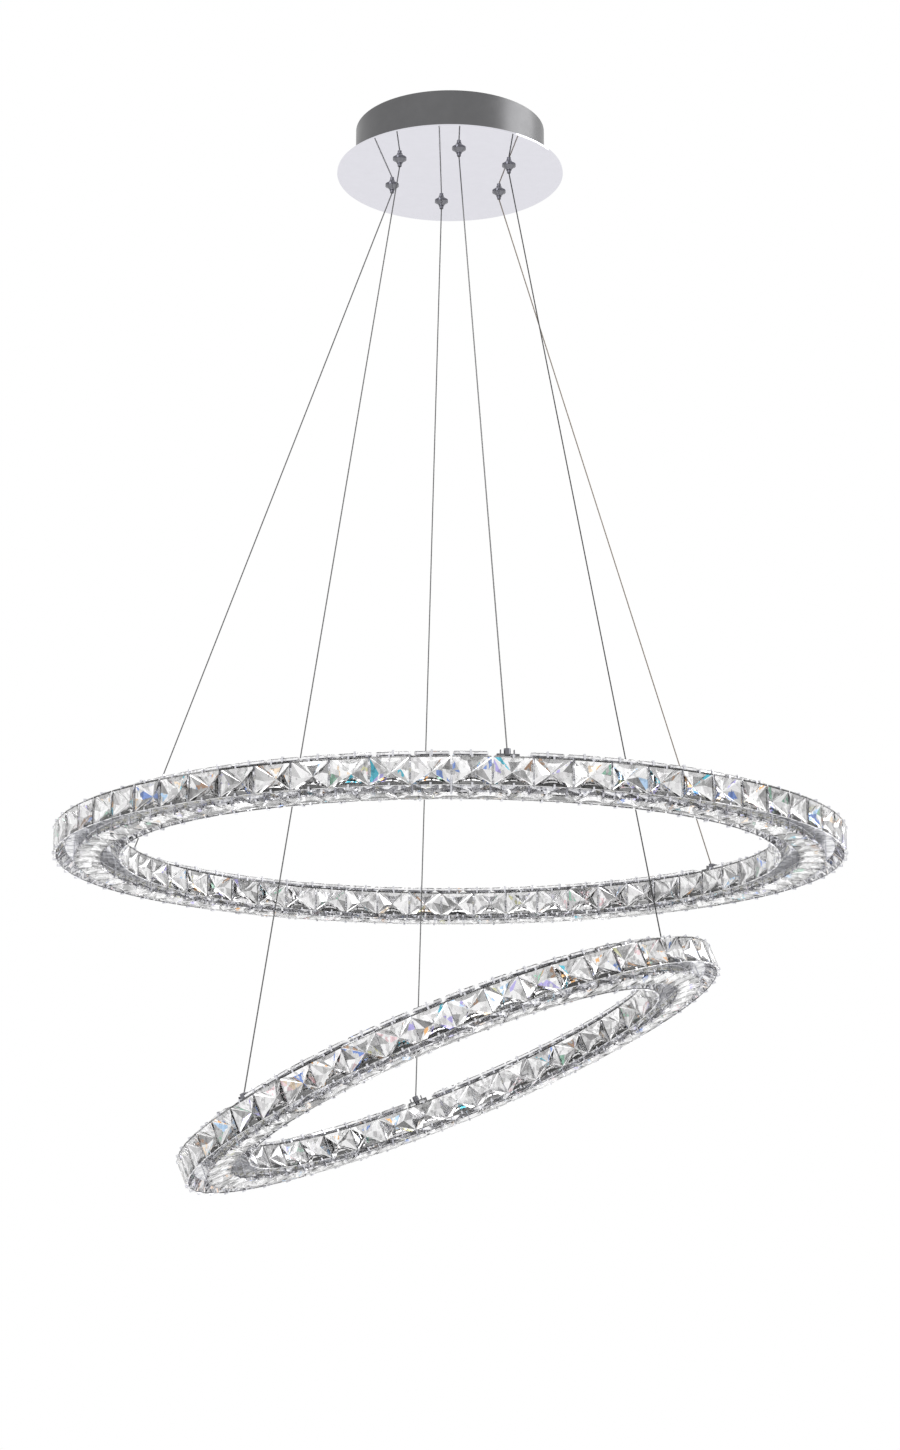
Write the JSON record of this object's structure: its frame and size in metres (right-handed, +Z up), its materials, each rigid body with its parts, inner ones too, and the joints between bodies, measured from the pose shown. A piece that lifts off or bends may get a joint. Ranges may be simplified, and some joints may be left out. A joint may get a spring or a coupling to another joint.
{
  "type": "crystal pendant light",
  "caption": "Pendant light with a level crystal ring and a smaller tilted crystal ring below it, hung by wires from grippers on a round canopy with a mirror plate.",
  "frame": {"origin": "centre of the ceiling face of the canopy, where the light is mounted", "axes": "+Z up into the ceiling, +X to the right and -Y towards the viewer of the picture"},
  "size_m": [0.7018, 0.7017, 0.9918],
  "materials": {
    "galvanised_steel": "zinc plated",
    "polished_steel": "polished stainless",
    "mirror_steel": "mirror polished",
    "dark_steel": "blackened",
    "white_plastic": "matt moulded",
    "circuit_board": "lacquered",
    "nickel_brass": "bright nickel plated",
    "spring_steel": "drawn wire",
    "wire_steel": "fine stranded",
    "led_strip": "silicone coated",
    "crystal": "clear cut crystal"
  },
  "bodies": {
    "canopy": {"ceiling_bracket": "galvanised_steel", "canopy_drum": "polished_steel", "canopy_set_screws": "dark_steel", "canopy_plate": "mirror_steel", "canopy_plate_nuts": "galvanised_steel", "driver_case": "white_plastic", "driver_lid": "white_plastic", "driver_board": "circuit_board", "driver_nuts": "galvanised_steel", "terminal_block": "white_plastic", "terminal_screws": "galvanised_steel", "gripper_nuts": "nickel_brass", "gripper_plugs": "nickel_brass", "gripper_body_1": "nickel_brass", "gripper_body_2": "nickel_brass", "gripper_body_3": "nickel_brass", "gripper_body_4": "nickel_brass", "gripper_body_5": "nickel_brass", "gripper_body_6": "nickel_brass", "gripper_spring_1": "spring_steel", "gripper_spring_2": "spring_steel", "gripper_spring_3": "spring_steel", "gripper_spring_4": "spring_steel", "gripper_spring_5": "spring_steel", "gripper_spring_6": "spring_steel", "suspension_wire_1": "wire_steel", "suspension_wire_2": "wire_steel", "suspension_wire_3": "wire_steel", "suspension_wire_4": "wire_steel", "suspension_wire_5": "wire_steel", "suspension_wire_6": "wire_steel"},
    "large_ring": {"large_ring_channel": "mirror_steel", "large_ring_cover": "mirror_steel", "large_ring_led_strips": "led_strip", "large_outer_crystals": "crystal", "large_inner_crystals": "crystal", "large_top_crystals": "crystal", "large_bottom_crystals": "crystal", "large_crystal_claws": "polished_steel", "large_wire_brackets": "polished_steel", "large_wire_bushings": "nickel_brass", "large_wire_balls": "nickel_brass"},
    "small_ring": {"small_ring_channel": "mirror_steel", "small_ring_cover": "mirror_steel", "small_ring_led_strips": "led_strip", "small_outer_crystals": "crystal", "small_inner_crystals": "crystal", "small_top_crystals": "crystal", "small_bottom_crystals": "crystal", "small_crystal_claws": "polished_steel", "small_wire_brackets": "polished_steel", "small_wire_bushings": "nickel_brass", "small_wire_balls": "nickel_brass"},
    "plunger_1": {"gripper_plunger_1": "nickel_brass"},
    "plunger_2": {"gripper_plunger_2": "nickel_brass"},
    "plunger_3": {"gripper_plunger_3": "nickel_brass"},
    "plunger_4": {"gripper_plunger_4": "nickel_brass"},
    "plunger_5": {"gripper_plunger_5": "nickel_brass"},
    "plunger_6": {"gripper_plunger_6": "nickel_brass"}
  },
  "joints": [
    {"name": "large_ring_height", "type": "slide", "parent": "canopy", "child": "large_ring", "axis": [0, 0, 1], "range_m": [0, 0.3], "deforming": ["suspension_wire_1", "suspension_wire_3", "suspension_wire_5"]},
    {"name": "small_ring_height", "type": "slide", "parent": "canopy", "child": "small_ring", "axis": [0, 0, 1], "range_m": [0, 0.18], "deforming": ["suspension_wire_2", "suspension_wire_4", "suspension_wire_6"]},
    {"name": "gripper_release_1", "type": "slide", "parent": "canopy", "child": "plunger_1", "axis": [0, 0, 1], "range_m": [0, 0.002], "stiffness_N_per_m": 500, "springref_m": -0.002, "deforming": ["gripper_spring_1"]},
    {"name": "gripper_release_2", "type": "slide", "parent": "canopy", "child": "plunger_2", "axis": [0, 0, 1], "range_m": [0, 0.002], "stiffness_N_per_m": 500, "springref_m": -0.002, "deforming": ["gripper_spring_2"]},
    {"name": "gripper_release_3", "type": "slide", "parent": "canopy", "child": "plunger_3", "axis": [0, 0, 1], "range_m": [0, 0.002], "stiffness_N_per_m": 500, "springref_m": -0.002, "deforming": ["gripper_spring_3"]},
    {"name": "gripper_release_4", "type": "slide", "parent": "canopy", "child": "plunger_4", "axis": [0, 0, 1], "range_m": [0, 0.002], "stiffness_N_per_m": 500, "springref_m": -0.002, "deforming": ["gripper_spring_4"]},
    {"name": "gripper_release_5", "type": "slide", "parent": "canopy", "child": "plunger_5", "axis": [0, 0, 1], "range_m": [0, 0.002], "stiffness_N_per_m": 500, "springref_m": -0.002, "deforming": ["gripper_spring_5"]},
    {"name": "gripper_release_6", "type": "slide", "parent": "canopy", "child": "plunger_6", "axis": [0, 0, 1], "range_m": [0, 0.002], "stiffness_N_per_m": 500, "springref_m": -0.002, "deforming": ["gripper_spring_6"]}
  ]
}
